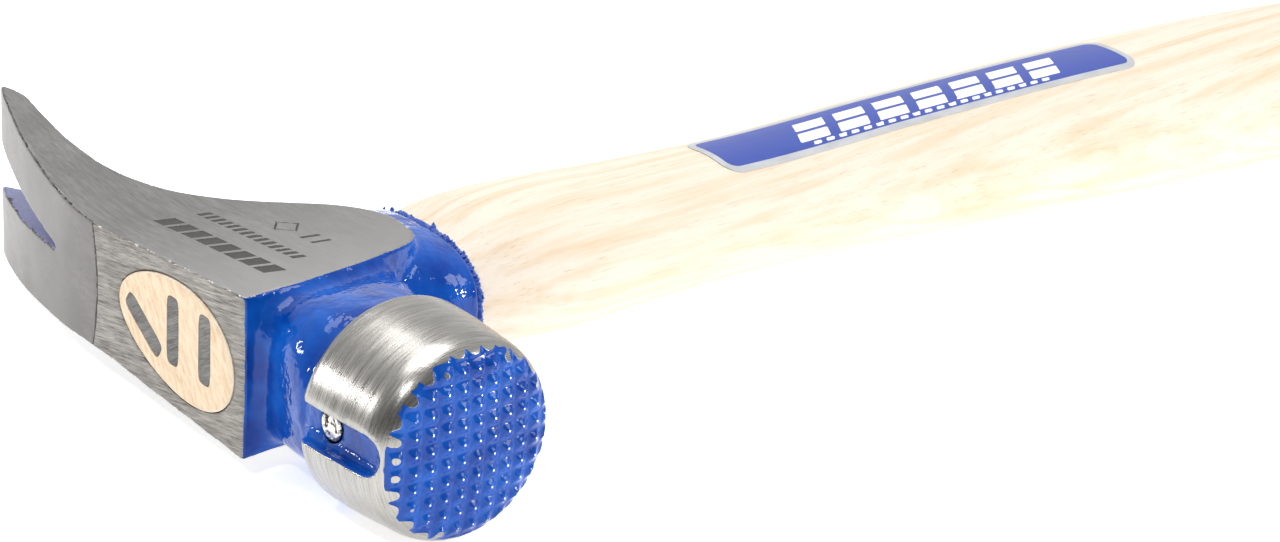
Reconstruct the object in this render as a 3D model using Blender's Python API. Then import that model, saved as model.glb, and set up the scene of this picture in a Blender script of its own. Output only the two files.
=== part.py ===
"""Claw hammer: a forged steel head with a milled face and rip claws on a curved hickory handle.

The hammer lies on its side.  +X points from the claws to the striking face, +Y from the head to the
butt of the handle, and +Z is up, out of the cheek.  Dimensions are in millimetres, measured from the
middle of the striking face, and place() turns them into metres about the part's own origin.
"""

import math

import bmesh
import bpy
from mathutils import Vector

MM = 0.001
GAP = 0.3               # clearance between pieces that touch on the real hammer

# Head: lengths along X are measured back from the striking face.
HEAD_TOP_Y = -16.0      # ground top of the head
TIP_X = -144.4          # claw tips
TIP_Y = -1.4
TIP_HALF = 16.9         # half width across the claw tips
ROOT_X = -87.5          # where the claws leave the ground top
ROOT_HALF = 11.7        # half thickness of the head at the claw root
SHOULDER_X = -41.2      # end face of the head, at its top edge
SHOULDER_HALF = 14.6    # half thickness of the head at the end face
CHEEK_FOOT_Y = 27.0     # lowest point of the ground cheek

# Poll
POLL_RADIUS = 18.2
FACE_RIM_RADIUS = 17.4
POLL_LENGTH = 22.0
CROWN_RADIUS = 105.0
MILL_RADIUS = 15.3
MILL_FLOOR_X = -2.0
MILL_PITCH = 3.0
MILL_VALLEY = 0.16      # flat left between two pyramids
MILL_ROWS = 6
MILL_SHIFT_Y = 0.31     # the milling isn't centred on a pyramid
MILL_SHIFT_Z = 0.42
NECK_RADIUS = 14.9
POLL_PROFILE = (
    (-27.0, NECK_RADIUS),
    (-POLL_LENGTH - 2.4, NECK_RADIUS + 0.3),
    (-POLL_LENGTH - 0.9, POLL_RADIUS - 1.3),
    (-POLL_LENGTH, POLL_RADIUS - 0.2),
    (-POLL_LENGTH + 0.9, POLL_RADIUS),
    (-5.8, FACE_RIM_RADIUS),
    (-3.9, FACE_RIM_RADIUS - 0.5),
    (-2.5, FACE_RIM_RADIUS - 1.4),
    (-1.6, MILL_RADIUS + 0.1),
    (MILL_FLOOR_X, MILL_RADIUS),
)
# Neck from inside the head to the poll: x, middle y, half height, half width and how square it is
NECK_STATIONS = (
    (-52.0, 1.8, 13.8, 12.0, 5.0),
    (-42.5, 2.0, 14.3, 12.5, 5.0),
    (-40.0, 2.0, 14.5, 13.0, 4.4),
    (-37.5, 1.8, 14.6, 13.8, 3.9),
    (-35.0, 1.3, 14.6, 14.3, 3.4),
    (-32.0, 0.7, 14.7, 14.6, 2.8),
    (-29.5, 0.3, 14.9, 14.8, 2.4),
)

# Nail starter: a groove along the poll with a magnet at its inner end
GROOVE_HALF = 3.3
GROOVE_FLOOR_Y = -14.6
GROOVE_FRONT_X = -3.4
GROOVE_Z = 0.9
MAGNET_X = -18.2
MAGNET_RADIUS = 2.6
MAGNET_DEPTH = 4.0
MAGNET_FACE_Y = -15.0

# Eye, from the ground top down to the lip of the skirt.  Each row holds y, middle x, half length,
# half width, how much wider the ring is towards the poll, how far it leans in Z, and how square it is.
LIP_Y = 33.0
LIP_SQUARENESS = 2.5
EYE_STATIONS = (
    (HEAD_TOP_Y, -62.0, 17.8, 10.3, 0.17, -1.2, 2.0),
    (-6.0, -61.9, 17.2, 9.8, 0.15, -0.9, 2.0),
    (8.0, -61.6, 16.6, 9.5, 0.1, -0.5, 2.1),
    (22.0, -61.2, 16.5, 9.5, 0.04, -0.1, 2.3),
    (LIP_Y, -61.0, 16.8, 9.7, 0.0, 0.0, LIP_SQUARENESS),
)
SKIRT_STATIONS = (
    (2.0, -61.0, 15.2, 12.0, 0.06, 0.0, 2.2),
    (14.0, -61.0, 16.0, 12.8, 0.06, 0.0, 2.3),
    (22.0, -61.0, 17.4, 12.9, 0.06, 0.0, 2.4),
    (28.0, -61.0, 18.4, 11.9, 0.03, 0.0, 2.6),
    (LIP_Y, -61.0, 18.3, 10.8, 0.0, 0.0, 2.7),
)

# Claw slot
SLOT_END_X = -104.5
SLOT_HALF_AT_TIP = 4.4
SLOT_HALF_AT_END = 0.45
SLOT_Z = 1.2

# Wedges driven into the end grain: name, middle x, middle z, turn from the X axis and depth
WEDGE_WIDTH = 12.2
WEDGE_THICK = 3.5
WEDGE_POINT = 0.9
WEDGES = (
    ("wedge_front", -52.9, 0.9, 90.0, 27.0),
    ("wedge_middle", -62.6, 0.8, 90.0, 27.0),
    ("wedge_diagonal", -71.7, -1.3, -34.0, 20.0),
)

# Handle: centre line (y, x), then half depth along X and half thickness along Z at each y
BUTT_Y = 413.8
GRIP_SQUARENESS = 2.15
CENTRE_LINE = ((33.0, -61.0), (60.0, -60.0), (110.0, -59.8), (165.0, -59.0), (210.0, -57.5),
               (260.0, -53.9), (310.0, -49.0), (355.0, -45.2), (390.0, -42.5), (414.0, -40.0))
HALF_DEPTH = ((33.0, 16.5), (42.0, 17.0), (56.0, 17.6), (75.0, 16.8), (105.0, 15.9), (145.0, 17.5),
              (190.0, 19.3), (250.0, 20.2), (300.0, 19.2), (345.0, 18.6), (380.0, 21.0), (400.0, 24.0),
              (414.0, 25.0))
HALF_THICK = ((33.0, 9.4), (36.0, 10.1), (42.0, 11.9), (49.0, 12.8), (56.0, 13.1), (75.0, 12.4),
              (105.0, 11.8), (145.0, 13.2), (190.0, 14.6), (250.0, 15.3), (300.0, 14.8), (345.0, 14.2),
              (380.0, 15.0), (400.0, 16.4), (414.0, 16.8))

# Label on the upper side of the handle
LABEL_START_Y = 97.0
LABEL_END_Y = 206.5
LABEL_MIDDLE_ANGLE = 85.0  # from the face side; straight up is 90
LABEL_HALF_ANGLE = 24.5
LABEL_THICK = 0.4

# Bead of lacquer and shaved wood under the lip of the eye
BEAD_LENGTH = 2.4
BEAD_WIDTH = 1.5

# The part's origin: the middle of its box in X and Y, on the surface it lies on
ORIGIN = Vector((TIP_X / 2, (BUTT_Y - POLL_RADIUS) / 2, -POLL_RADIUS))


def place(x, y, z):
    """A point in head millimetres, as metres about the part's origin."""
    return (Vector((x, y, z)) - ORIGIN) * MM


def material(name, colour, metallic, roughness):
    made = bpy.data.materials.new(name)
    made.use_nodes = True
    shader = made.node_tree.nodes["Principled BSDF"]
    shader.inputs["Base Color"].default_value = (*colour, 1.0)
    shader.inputs["Metallic"].default_value = metallic
    shader.inputs["Roughness"].default_value = roughness
    return made


def solid(name, points, faces, finish=None, smooth_angle=30.0):
    """One object from points in head millimetres."""
    mesh = bpy.data.meshes.new(name)
    mesh.from_pydata([place(*p) for p in points], [], faces)
    work = bmesh.new()
    work.from_mesh(mesh)
    bmesh.ops.remove_doubles(work, verts=work.verts, dist=1e-7)
    bmesh.ops.recalc_face_normals(work, faces=work.faces)
    work.to_mesh(mesh)
    work.free()
    made = bpy.data.objects.new(name, mesh)
    bpy.context.scene.collection.objects.link(made)
    if finish:
        mesh.materials.append(finish)
    mesh.shade_smooth()
    mesh.set_sharp_from_angle(angle=math.radians(smooth_angle))
    return made


def loft(name, rings, finish=None):
    """A solid through equal rings of points, closed by its first and last ring."""
    count = len(rings[0])
    points = [p for ring in rings for p in ring]
    faces = [tuple(range(count)), tuple(range(len(points) - count, len(points)))]
    for row in range(len(rings) - 1):
        for i in range(count):
            a = row * count + i
            b = row * count + (i + 1) % count
            faces.append((a, b, b + count, a + count))
    return solid(name, points, faces, finish)


def curve_through(knots, steps):
    """Points on a smooth curve through the knots, with `steps` points from each knot to the next."""
    points = []
    last = len(knots) - 1
    for i in range(last):
        p0 = Vector(knots[max(i - 1, 0)])
        p1 = Vector(knots[i])
        p2 = Vector(knots[i + 1])
        p3 = Vector(knots[min(i + 2, last)])
        for step in range(steps):
            t = step / steps
            points.append(0.5 * ((2 * p1) + (p2 - p0) * t + (2 * p0 - 5 * p1 + 4 * p2 - p3) * t ** 2
                                 + (3 * p1 - p0 - 3 * p2 + p3) * t ** 3))
    points.append(Vector(knots[last]))
    return points


def spline_at(table, y):
    """A value from a table of (y, value) rows, on a curve without corners."""
    last = len(table) - 1
    y = min(max(y, table[0][0]), table[last][0])
    i = max(k for k in range(last) if table[k][0] <= y)
    slopes = []
    for k in (i, i + 1):
        low = table[max(k - 1, 0)]
        high = table[min(k + 1, last)]
        slopes.append((high[1] - low[1]) / (high[0] - low[0]))
    width = table[i + 1][0] - table[i][0]
    t = (y - table[i][0]) / width
    return ((2 * t ** 3 - 3 * t ** 2 + 1) * table[i][1] + (t ** 3 - 2 * t ** 2 + t) * width * slopes[0]
            + (3 * t ** 2 - 2 * t ** 3) * table[i + 1][1] + (t ** 3 - t ** 2) * width * slopes[1])


def signed_power(value, power):
    """The sine or cosine of an oval that is squarer at a higher power; 2 gives a plain one."""
    return math.copysign(abs(value) ** (2 / power), value)


def egg_ring(y, x, half_x, half_z, egg=0.0, lean=0.0, power=2.0, z=0.0, grow=0.0, count=36):
    """A ring across Y: an oval, wider towards the poll, leaning in Z and squarer at a higher power."""
    ring = []
    for i in range(count):
        angle = math.tau * i / count
        along = signed_power(math.cos(angle), power)
        across = signed_power(math.sin(angle), power) * (1 + egg * math.cos(angle))
        ring.append((x + (half_x + grow) * along, y, z + (half_z + grow) * across + lean * along))
    return ring


def rounded_box_ring(x, middle_y, half_y, half_z, power, count=48):
    """A ring across X that goes from a circle at power 2 to a box at a high power."""
    ring = []
    for i in range(count):
        angle = math.tau * i / count
        ring.append((x, middle_y + half_y * signed_power(math.cos(angle), power),
                     half_z * signed_power(math.sin(angle), power)))
    return ring


def cut(target, tool, operation="DIFFERENCE"):
    """Apply a Boolean to the target and drop the tool."""
    modifier = target.modifiers.new(tool.name, "BOOLEAN")
    modifier.object = tool
    modifier.operation = operation
    modifier.solver = "EXACT"
    graph = bpy.context.evaluated_depsgraph_get()
    result = bpy.data.meshes.new_from_object(target.evaluated_get(graph))
    target.modifiers.clear()
    target.data = result
    bpy.data.objects.remove(tool)
    return target


def head_side_outline():
    """The outline of the head seen on its cheek, as (x, y)."""
    claw_outside = curve_through(((ROOT_X, HEAD_TOP_Y), (-101.0, -14.7), (-120.5, -10.3), (-136.4, -5.1),
                                  (TIP_X, TIP_Y - 0.3)), 5)
    claw_inside = curve_through(((TIP_X, TIP_Y + 0.1), (-139.5, 0.2), (-131.0, -0.9), (-119.0, -2.0),
                                 (-106.0, -1.2), (-95.5, 2.6), (-86.5, 9.4), (-79.3, 16.3),
                                 (-72.5, 22.6), (-66.3, 26.0), (-60.5, CHEEK_FOOT_Y), (-53.1, 25.6),
                                 (-48.4, 22.8)), 3)
    outline = [Vector((SHOULDER_X, HEAD_TOP_Y))] + claw_outside + claw_inside
    outline.append(Vector((-46.2, 17.5)))
    return outline


def head_plan_outline():
    """The outline of the head seen from its top, as (x, z), one side from claws to end face."""
    claw = curve_through(((TIP_X - 1.0, TIP_HALF + 0.1), (-131.0, 15.55), (-121.0, 14.4), (-102.0, 12.5),
                          (ROOT_X, ROOT_HALF)), 3)
    one_side = claw + [Vector((SHOULDER_X + 2.0, SHOULDER_HALF + 0.1))]
    return one_side + [Vector((p.x, -p.y)) for p in reversed(one_side)]


def claw_slot():
    """The tapered nail slot, a wedge with a narrow round end, cut through the claws along Y."""
    length = SLOT_END_X - TIP_X
    plan = []
    for t in (-0.15, 0.0, 0.35, 0.7, 1.0):
        half = SLOT_HALF_AT_TIP + (SLOT_HALF_AT_END - SLOT_HALF_AT_TIP) * max(t, 0.0) ** 1.15
        plan.append((TIP_X + length * t, half))
    rings = []
    for y in (-30.0, 20.0):
        ring = [(x, y, SLOT_Z + half) for x, half in plan]
        ring.append((SLOT_END_X + 0.6, y, SLOT_Z))
        ring += [(x, y, SLOT_Z - half) for x, half in reversed(plan)]
        rings.append(ring)
    return loft("slot_cutter", rings)


def starter_groove():
    """A round-bottomed channel along the poll, open at the neck and rounded at the face end."""
    rings = []
    radius = GROOVE_HALF
    stations = [-26.0, GROOVE_FRONT_X - radius]
    stations += [GROOVE_FRONT_X - radius + radius * math.sin(math.radians(a)) for a in (25, 50, 70, 86)]
    for x in stations:
        ahead = max(x - (GROOVE_FRONT_X - radius), 0.0)
        width = math.sqrt(max(radius ** 2 - ahead ** 2, 0.0))
        ring = [(x, -25.0, GROOVE_Z - width), (x, -25.0, GROOVE_Z + width)]
        for i in range(9):
            angle = math.pi * i / 8
            depth = 1.5 * math.sin(angle)
            ring.append((x, GROOVE_FLOOR_Y - 1.5 + depth, GROOVE_Z + width * math.cos(angle)))
        rings.append(ring)
    return loft("groove_cutter", rings)


def round_bar(name, x, y0, y1, z, radius, finish=None, count=24):
    return loft(name, [egg_ring(y, x, radius, radius, z=z, count=count) for y in (y0, y1)], finish)


def milled_pyramids():
    """The rows of pyramids that the milling leaves, each a tip on a square root sunk in the poll."""
    points = []
    faces = []
    half = MILL_PITCH / 2 - MILL_VALLEY / 2
    for row in range(-MILL_ROWS, MILL_ROWS + 1):
        for column in range(-MILL_ROWS, MILL_ROWS + 1):
            y = (column + MILL_SHIFT_Y) * MILL_PITCH
            z = (row + MILL_SHIFT_Z) * MILL_PITCH
            if math.hypot(abs(y) + half, abs(z) + half) > MILL_RADIUS - 0.15:
                continue
            start = len(points)
            for x in (MILL_FLOOR_X - 1.5, MILL_FLOOR_X):
                points += [(x, y - half, z - half), (x, y + half, z - half),
                           (x, y + half, z + half), (x, y - half, z + half)]
            points.append((-(y ** 2 + z ** 2) / (2 * CROWN_RADIUS), y, z))
            faces.append(tuple(start + k for k in (3, 2, 1, 0)))
            for k in range(4):
                after = (k + 1) % 4
                faces.append((start + k, start + after, start + 4 + after, start + 4 + k))
                faces.append((start + 4 + k, start + 4 + after, start + 8))
    return solid("pyramid_tool", points, faces)


def build_head(finish):
    side = head_side_outline()
    plan = head_plan_outline()
    head = loft("head", [[(p.x, p.y, z) for p in side] for z in (-20.0, 20.0)], finish)
    cut(head, loft("plan_tool", [[(p.x, y, p.y) for p in plan] for y in (-30.0, 60.0)]), "INTERSECT")

    cut(head, loft("skirt_tool", [egg_ring(*row) for row in SKIRT_STATIONS]), "UNION")

    rings = [rounded_box_ring(*row) for row in NECK_STATIONS]
    rings += [rounded_box_ring(x, 0.0, radius, radius, 2.0) for x, radius in POLL_PROFILE]
    cut(head, loft("poll_tool", rings), "UNION")

    eye_rings = [egg_ring(*row) for row in EYE_STATIONS]
    eye_rings.insert(0, [(x, y - 4.0, z) for x, y, z in eye_rings[0]])
    eye_rings.append([(x, y + 4.0, z) for x, y, z in eye_rings[-1]])
    cut(head, loft("eye_cutter", eye_rings))
    cut(head, claw_slot())
    cut(head, starter_groove())
    cut(head, round_bar("magnet_pocket", MAGNET_X, -20.0, MAGNET_FACE_Y + MAGNET_DEPTH + GAP, GROOVE_Z,
                        MAGNET_RADIUS + GAP))
    cut(head, milled_pyramids(), "UNION")
    return head


def handle_ring(y, grow=0.0, count=36):
    """The oval section of the handle, squarer where it enters the eye."""
    power = max(LIP_SQUARENESS - 0.015 * (y - LIP_Y), GRIP_SQUARENESS)
    return egg_ring(y, spline_at(CENTRE_LINE, y), spline_at(HALF_DEPTH, y), spline_at(HALF_THICK, y),
                    power=power, grow=grow, count=count)


def wedge(name, x, z, turn, depth, grow=0.0, finish=None):
    """A steel wedge driven along Y, `turn` degrees from the X axis in the ground top."""
    rings = []
    top = HEAD_TOP_Y if not grow else HEAD_TOP_Y - 2.0
    direction = math.radians(turn)
    for y, thick in ((top, WEDGE_THICK), (HEAD_TOP_Y + depth + grow, WEDGE_POINT)):
        ring = []
        for along, across in ((-1, -1), (1, -1), (1, 1), (-1, 1)):
            a = along * (WEDGE_WIDTH / 2 + grow)
            b = across * (thick / 2 + grow)
            ring.append((x + a * math.cos(direction) - b * math.sin(direction), y,
                         z + a * math.sin(direction) + b * math.cos(direction)))
        rings.append(ring)
    return loft(name, rings, finish)


def build_handle(finish):
    rings = [egg_ring(*row, grow=-GAP) for row in EYE_STATIONS]
    rings += [handle_ring(LIP_Y + (BUTT_Y - 2.5 - LIP_Y) * (i / 36) ** 1.15) for i in range(1, 37)]
    rings.append(handle_ring(BUTT_Y - 1.0, grow=-0.6))
    rings.append(handle_ring(BUTT_Y, grow=-2.0))
    handle = loft("handle", rings, finish)
    for name, x, z, turn, depth in WEDGES:
        cut(handle, wedge(name + "_slot", x, z, turn, depth, grow=GAP))
    return handle


def build_label(finish):
    """A thin sheet that follows the upper side of the handle."""
    rings = []
    steps = 24
    across = 10
    for i in range(steps + 1):
        y = LABEL_START_Y + (LABEL_END_Y - LABEL_START_Y) * i / steps
        x = spline_at(CENTRE_LINE, y)
        ring = []
        for grow, order in ((GAP, range(across + 1)), (GAP + LABEL_THICK, range(across, -1, -1))):
            for k in order:
                angle = math.radians(LABEL_MIDDLE_ANGLE + LABEL_HALF_ANGLE * (1 - 2 * k / across))
                sideways = (spline_at(HALF_DEPTH, y) + grow) * signed_power(math.cos(angle), GRIP_SQUARENESS)
                upwards = (spline_at(HALF_THICK, y) + grow) * signed_power(math.sin(angle), GRIP_SQUARENESS)
                ring.append((x + sideways, y, upwards))
        rings.append(ring)
    return loft("label", rings, finish)


def build_bead(finish):
    """An oval ring around the handle, just below the lip of the eye."""
    points = []
    count = 36
    profile = ((0.0, 0.0), (BEAD_WIDTH, 0.0), (BEAD_WIDTH * 0.8, BEAD_LENGTH * 0.6), (0.0, BEAD_LENGTH))
    for outward, down in profile:
        points += handle_ring(LIP_Y + GAP + down, grow=GAP + outward, count=count)
    faces = []
    for row in range(4):
        for i in range(count):
            a = row * count + i
            b = row * count + (i + 1) % count
            after = ((row + 1) % 4 - row) * count
            faces.append((a, b, b + after, a + after))
    return solid("lacquer_bead", points, faces, finish)


def build():
    for old in list(bpy.data.objects):
        bpy.data.objects.remove(old)
    steel = material("forged_steel", (0.42, 0.41, 0.39), 1.0, 0.38)
    wedge_steel = material("wedge_steel", (0.16, 0.16, 0.16), 0.9, 0.5)
    magnet_metal = material("magnet_nickel", (0.7, 0.69, 0.66), 1.0, 0.35)
    hickory = material("hickory", (0.80, 0.66, 0.46), 0.0, 0.5)
    blue_print = material("label_print", (0.05, 0.09, 0.55), 0.0, 0.4)
    lacquer = material("blue_lacquer", (0.02, 0.05, 0.38), 0.0, 0.25)
    build_head(steel)
    build_handle(hickory)
    for name, x, z, turn, depth in WEDGES:
        wedge(name, x, z, turn, depth, finish=wedge_steel)
    round_bar("starter_magnet", MAGNET_X, MAGNET_FACE_Y, MAGNET_FACE_Y + MAGNET_DEPTH, GROOVE_Z,
              MAGNET_RADIUS, magnet_metal)
    build_label(blue_print)
    build_bead(lacquer)


build()
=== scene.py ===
"""Claw hammer: forged head with ground cheeks, milled face and rip claws on a hickory handle.

Lengths are in millimetres from the middle of the striking face, with +X out of the face, +Y towards
the butt and +Z out of the upper cheek.  to_frame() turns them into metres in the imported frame.
"""

import math
import random

import bpy
import numpy as np
from mathutils import Matrix, Vector


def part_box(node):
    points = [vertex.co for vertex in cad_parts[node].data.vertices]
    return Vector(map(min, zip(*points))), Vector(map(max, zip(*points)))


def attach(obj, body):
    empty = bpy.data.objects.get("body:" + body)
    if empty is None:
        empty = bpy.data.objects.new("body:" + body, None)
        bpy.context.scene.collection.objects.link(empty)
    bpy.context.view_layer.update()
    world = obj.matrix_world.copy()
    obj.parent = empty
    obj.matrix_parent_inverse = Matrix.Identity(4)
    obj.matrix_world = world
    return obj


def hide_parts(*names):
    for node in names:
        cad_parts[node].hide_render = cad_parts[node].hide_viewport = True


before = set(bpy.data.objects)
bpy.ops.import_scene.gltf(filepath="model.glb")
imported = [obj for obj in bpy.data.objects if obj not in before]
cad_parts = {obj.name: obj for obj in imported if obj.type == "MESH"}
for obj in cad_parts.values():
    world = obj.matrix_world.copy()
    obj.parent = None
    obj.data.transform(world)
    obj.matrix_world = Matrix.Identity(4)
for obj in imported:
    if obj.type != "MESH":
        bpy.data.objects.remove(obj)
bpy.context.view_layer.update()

MM = 0.001
SEED = 19

# Head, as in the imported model
HEAD_TOP_Y = -16.0
TIP_X = -144.4
ROOT_X = -87.5
ROOT_HALF = 11.7
SHOULDER_X = -41.2
CHEEK_SLOPE = 0.06211     # how fast each cheek widens towards the face
POLL_RADIUS = 18.2
CROWN_RADIUS = 105.0
FACE_RIM_BLEND = 5.5
LIP_Y = 33.0
SLOT_END_X = -104.5
SLOT_END_HALF = 0.45
SLOT_Z = 1.2
GROOVE_HALF = 3.3
GROOVE_FLOOR_Y = -14.6
GROOVE_CORNER = 2.2
GROOVE_BACK_X = -26.0
GROOVE_ROUND_X = -6.7     # where the groove's round front end starts
GROOVE_Z = 0.9
MAGNET_X = -18.2
MAGNET_RADIUS = 2.6
MAGNET_FACE_Y = -15.0
MAGNET_FOOT_Y = -11.0
POCKET_GAP = 0.3
CHEEK_LEAN = 0.998        # cosine of the angle that each cheek makes with the head's middle plane
NECK_START_X = -54.0

# How far each edge or inner corner of the head is rounded
SLAB_ROUND = 0.55
SKIRT_FILLET = 1.5
NECK_FILLET = 4.2
LIP_ROUND = 0.9
GRIND_ROUND = 0.5
EYE_ROUND = 0.35
SLOT_ROUND = 0.4
GROOVE_ROUND = 0.7
POCKET_ROUND = 0.25

# Milled face
MILL_PITCH = 3.0
MILL_SHIFT_Y = 0.31
MILL_SHIFT_Z = 0.42
MILL_DEPTH = 1.12
MILL_TILT = 0.010         # the cutter leans, so the grooves are a little deeper towards the handle
FACE_RADIUS = 17.33

# Half width of the slot between the claws at each x
SLOT_ROWS = ((TIP_X - 8, 4.9), (TIP_X, 4.4), (-130.4, 3.21), (-116.5, 1.78), (SLOT_END_X, SLOT_END_HALF))
# Neck and poll: x, then middle y, half y, half z and squareness
NECK_ROWS = (
    (-54.0, 1.8, 13.6, 11.6, 4.6), (-46.0, 1.9, 14.0, 12.2, 4.6), (-42.5, 2.0, 14.2, 12.5, 4.6),
    (-40.0, 2.0, 14.4, 13.0, 4.2), (-37.5, 1.8, 14.5, 13.6, 3.8), (-35.0, 1.3, 14.5, 14.1, 3.3),
    (-32.0, 0.7, 14.6, 14.5, 2.8), (-29.5, 0.3, 14.8, 14.7, 2.4), (-27.0, 0.0, 14.9, 14.9, 2.0),
    (-24.6, 0.0, 15.1, 15.1, 2.0), (-23.6, 0.0, 16.1, 16.1, 2.0), (-22.6, 0.0, 17.6, 17.6, 2.0),
    (-21.6, 0.0, 18.14, 18.14, 2.0), (-20.6, 0.0, 18.16, 18.16, 2.0), (-5.8, 0.0, 17.4, 17.4, 2.0),
    (2.0, 0.0, 17.0, 17.0, 2.0))
# Eye and skirt: y, then middle x, half length, half width, widening towards the poll, lean and squareness
EYE_ROWS = (
    (-16.0, -62.0, 17.8, 10.3, 0.17, -1.2, 2.0), (-6.0, -61.9, 17.2, 9.8, 0.15, -0.9, 2.0),
    (8.0, -61.6, 16.6, 9.5, 0.10, -0.5, 2.1), (22.0, -61.2, 16.5, 9.5, 0.04, -0.1, 2.3),
    (33.0, -61.0, 16.8, 9.7, 0.0, 0.0, 2.5))
SKIRT_ROWS = (
    (0.0, -61.0, 14.8, 11.8, 0.06, 0.0, 2.2), (8.0, -61.0, 15.6, 12.5, 0.06, 0.0, 2.3),
    (14.0, -61.0, 16.0, 12.8, 0.06, 0.0, 2.3), (22.0, -61.0, 17.4, 12.9, 0.06, 0.0, 2.4),
    (28.0, -61.0, 18.4, 11.9, 0.03, 0.0, 2.6), (33.0, -61.0, 18.3, 10.8, 0.0, 0.0, 2.7))
# Handle: y, then middle x, half depth and half thickness
HANDLE_ROWS = (
    (33.0, -61.0, 16.5, 9.4), (36.0, -60.9, 16.65, 10.1), (42.0, -60.7, 17.0, 11.9),
    (49.0, -60.4, 17.35, 12.8), (56.0, -60.1, 17.6, 13.1), (75.0, -59.9, 16.8, 12.4),
    (105.0, -59.8, 15.9, 11.8), (145.0, -59.35, 17.5, 13.2), (190.0, -58.2, 19.3, 14.6),
    (250.0, -54.7, 20.2, 15.3), (300.0, -50.0, 19.2, 14.8), (345.0, -45.9, 18.6, 14.2),
    (380.0, -43.2, 21.0, 15.0), (400.0, -41.6, 24.0, 16.4), (413.8, -40.0, 25.0, 16.8))
BUTT_Y = 413.8
BUTT_ROUND = 3.0
GRIP_SQUARENESS = 2.15
EYE_GAP = 0.12            # between the tenon and the eye

head_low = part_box("head")[0]
handle_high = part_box("handle")[1]
ORIGIN = np.array((TIP_X - head_low.x / MM,
                   BUTT_Y - handle_high.y / MM,
                   -POLL_RADIUS - head_low.z / MM))


def to_frame(points):
    """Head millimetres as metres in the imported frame."""
    return (np.asarray(points, dtype=float) - ORIGIN) * MM


# ---------------------------------------------------------------- curves and distances

def smooth_rows(rows, steps=24):
    """A table's rows joined by smooth curves, sampled closely enough to read straight between."""
    rows = np.array(rows, dtype=float)
    at = rows[:, 0]
    slope = np.gradient(rows, at, axis=0)
    result = []
    for i in range(len(rows) - 1):
        width = at[i + 1] - at[i]
        for t in np.arange(steps) / steps:
            result.append((2 * t ** 3 - 3 * t ** 2 + 1) * rows[i]
                          + (t ** 3 - 2 * t ** 2 + t) * width * slope[i]
                          + (3 * t ** 2 - 2 * t ** 3) * rows[i + 1]
                          + (t ** 3 - t ** 2) * width * slope[i + 1])
    result.append(rows[-1])
    return np.array(result)


def read_rows(table, at):
    """Each column of a sampled table at the given places, past the first one."""
    return [np.interp(at, table[:, 0], table[:, k]) for k in range(1, table.shape[1])]


def curve_through(knots, steps):
    """Points on a smooth curve through knots in a plane."""
    knots = np.array(knots, dtype=float)
    padded = np.vstack((knots[:1], knots, knots[-1:]))
    points = []
    for p0, p1, p2, p3 in zip(padded, padded[1:], padded[2:], padded[3:]):
        for t in np.arange(steps) / steps:
            points.append(0.5 * (2 * p1 + (p2 - p0) * t + (2 * p0 - 5 * p1 + 4 * p2 - p3) * t ** 2
                                 + (3 * p1 - p0 - 3 * p2 + p3) * t ** 3))
    points.append(knots[-1])
    return points


def outline_distance(outline, u, v):
    """Distance from points in a plane to a closed outline, negative inside it."""
    nearest = np.full(u.shape, 1e9)
    inside = np.zeros(u.shape, dtype=bool)
    for (u0, v0), (u1, v1) in zip(outline, np.roll(outline, -1, axis=0)):
        du, dv = u1 - u0, v1 - v0
        t = np.clip(((u - u0) * du + (v - v0) * dv) / (du * du + dv * dv), 0, 1)
        nearest = np.minimum(nearest, (u - u0 - t * du) ** 2 + (v - v0 - t * dv) ** 2)
        if dv:
            inside ^= ((v0 > v) != (v1 > v)) & (u < u0 + (v - v0) * du / dv)
    return np.sqrt(nearest) * np.where(inside, -1, 1)


def oval_distance(u, v, half_u, half_v, power):
    """Distance to an oval that is squarer at a higher power, negative inside it."""
    a = np.abs(u) / half_u
    b = np.abs(v) / half_v
    size = np.maximum((a ** power + b ** power) ** (1 / power), 0.05)
    steep = np.hypot(a ** (power - 1) / half_u, b ** (power - 1) / half_v) / size ** (power - 1)
    return (size - 1) / np.maximum(steep, 0.02)


def join(a, b, blend):
    """Both shapes as one, with a fillet about as wide as the blend."""
    near = np.maximum(blend - np.abs(a - b), 0) / blend
    return np.minimum(a, b) - near * near * blend / 4


def trim(a, b, blend):
    """What both shapes share, with its edge rounded over about the blend."""
    return -join(-a, -b, blend)


def ripple(points, size, seed, waves=7):
    """Smooth random waves over space, about `size` long and mostly between -1 and 1."""
    draw = np.random.default_rng(seed)
    total = np.zeros(len(points))
    for _ in range(waves):
        direction = draw.normal(size=3)
        direction *= math.tau / (size * draw.uniform(0.7, 1.6) * np.linalg.norm(direction))
        total += np.sin(points @ direction + draw.uniform(0, math.tau))
    return total / math.sqrt(waves) * 0.7


# ---------------------------------------------------------------- the forged head

SIDE_OUTLINE = np.array(
    [(SHOULDER_X, HEAD_TOP_Y)]
    + list(curve_through(((ROOT_X, HEAD_TOP_Y), (-101.0, -14.7), (-120.5, -10.3),
                          (-136.4, -5.1), (TIP_X, -1.9)), 12))
    + list(curve_through(((TIP_X, -1.2), (-139.5, 0.2), (-131.0, -0.9), (-119.0, -2.0), (-106.0, -1.2),
                          (-95.5, 2.6), (-86.5, 9.4), (-79.3, 16.3), (-72.5, 22.6), (-66.3, 26.0),
                          (-60.5, 27.0), (-53.1, 25.6), (-48.4, 22.8), (-46.2, 17.5)), 8)))
PLAN_ROWS = smooth_rows((
    (-146.0, 17.0), (-131.0, 15.55), (-121.0, 14.4), (-102.0, 12.5), (ROOT_X, ROOT_HALF),
    (-70.0, ROOT_HALF + CHEEK_SLOPE * (-70.0 - ROOT_X)), (SHOULDER_X, 14.576), (0.0, 17.14)))
NECK_TABLE = smooth_rows(NECK_ROWS)
EYE_TABLE = smooth_rows(EYE_ROWS)
SKIRT_TABLE = smooth_rows(SKIRT_ROWS)
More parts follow.
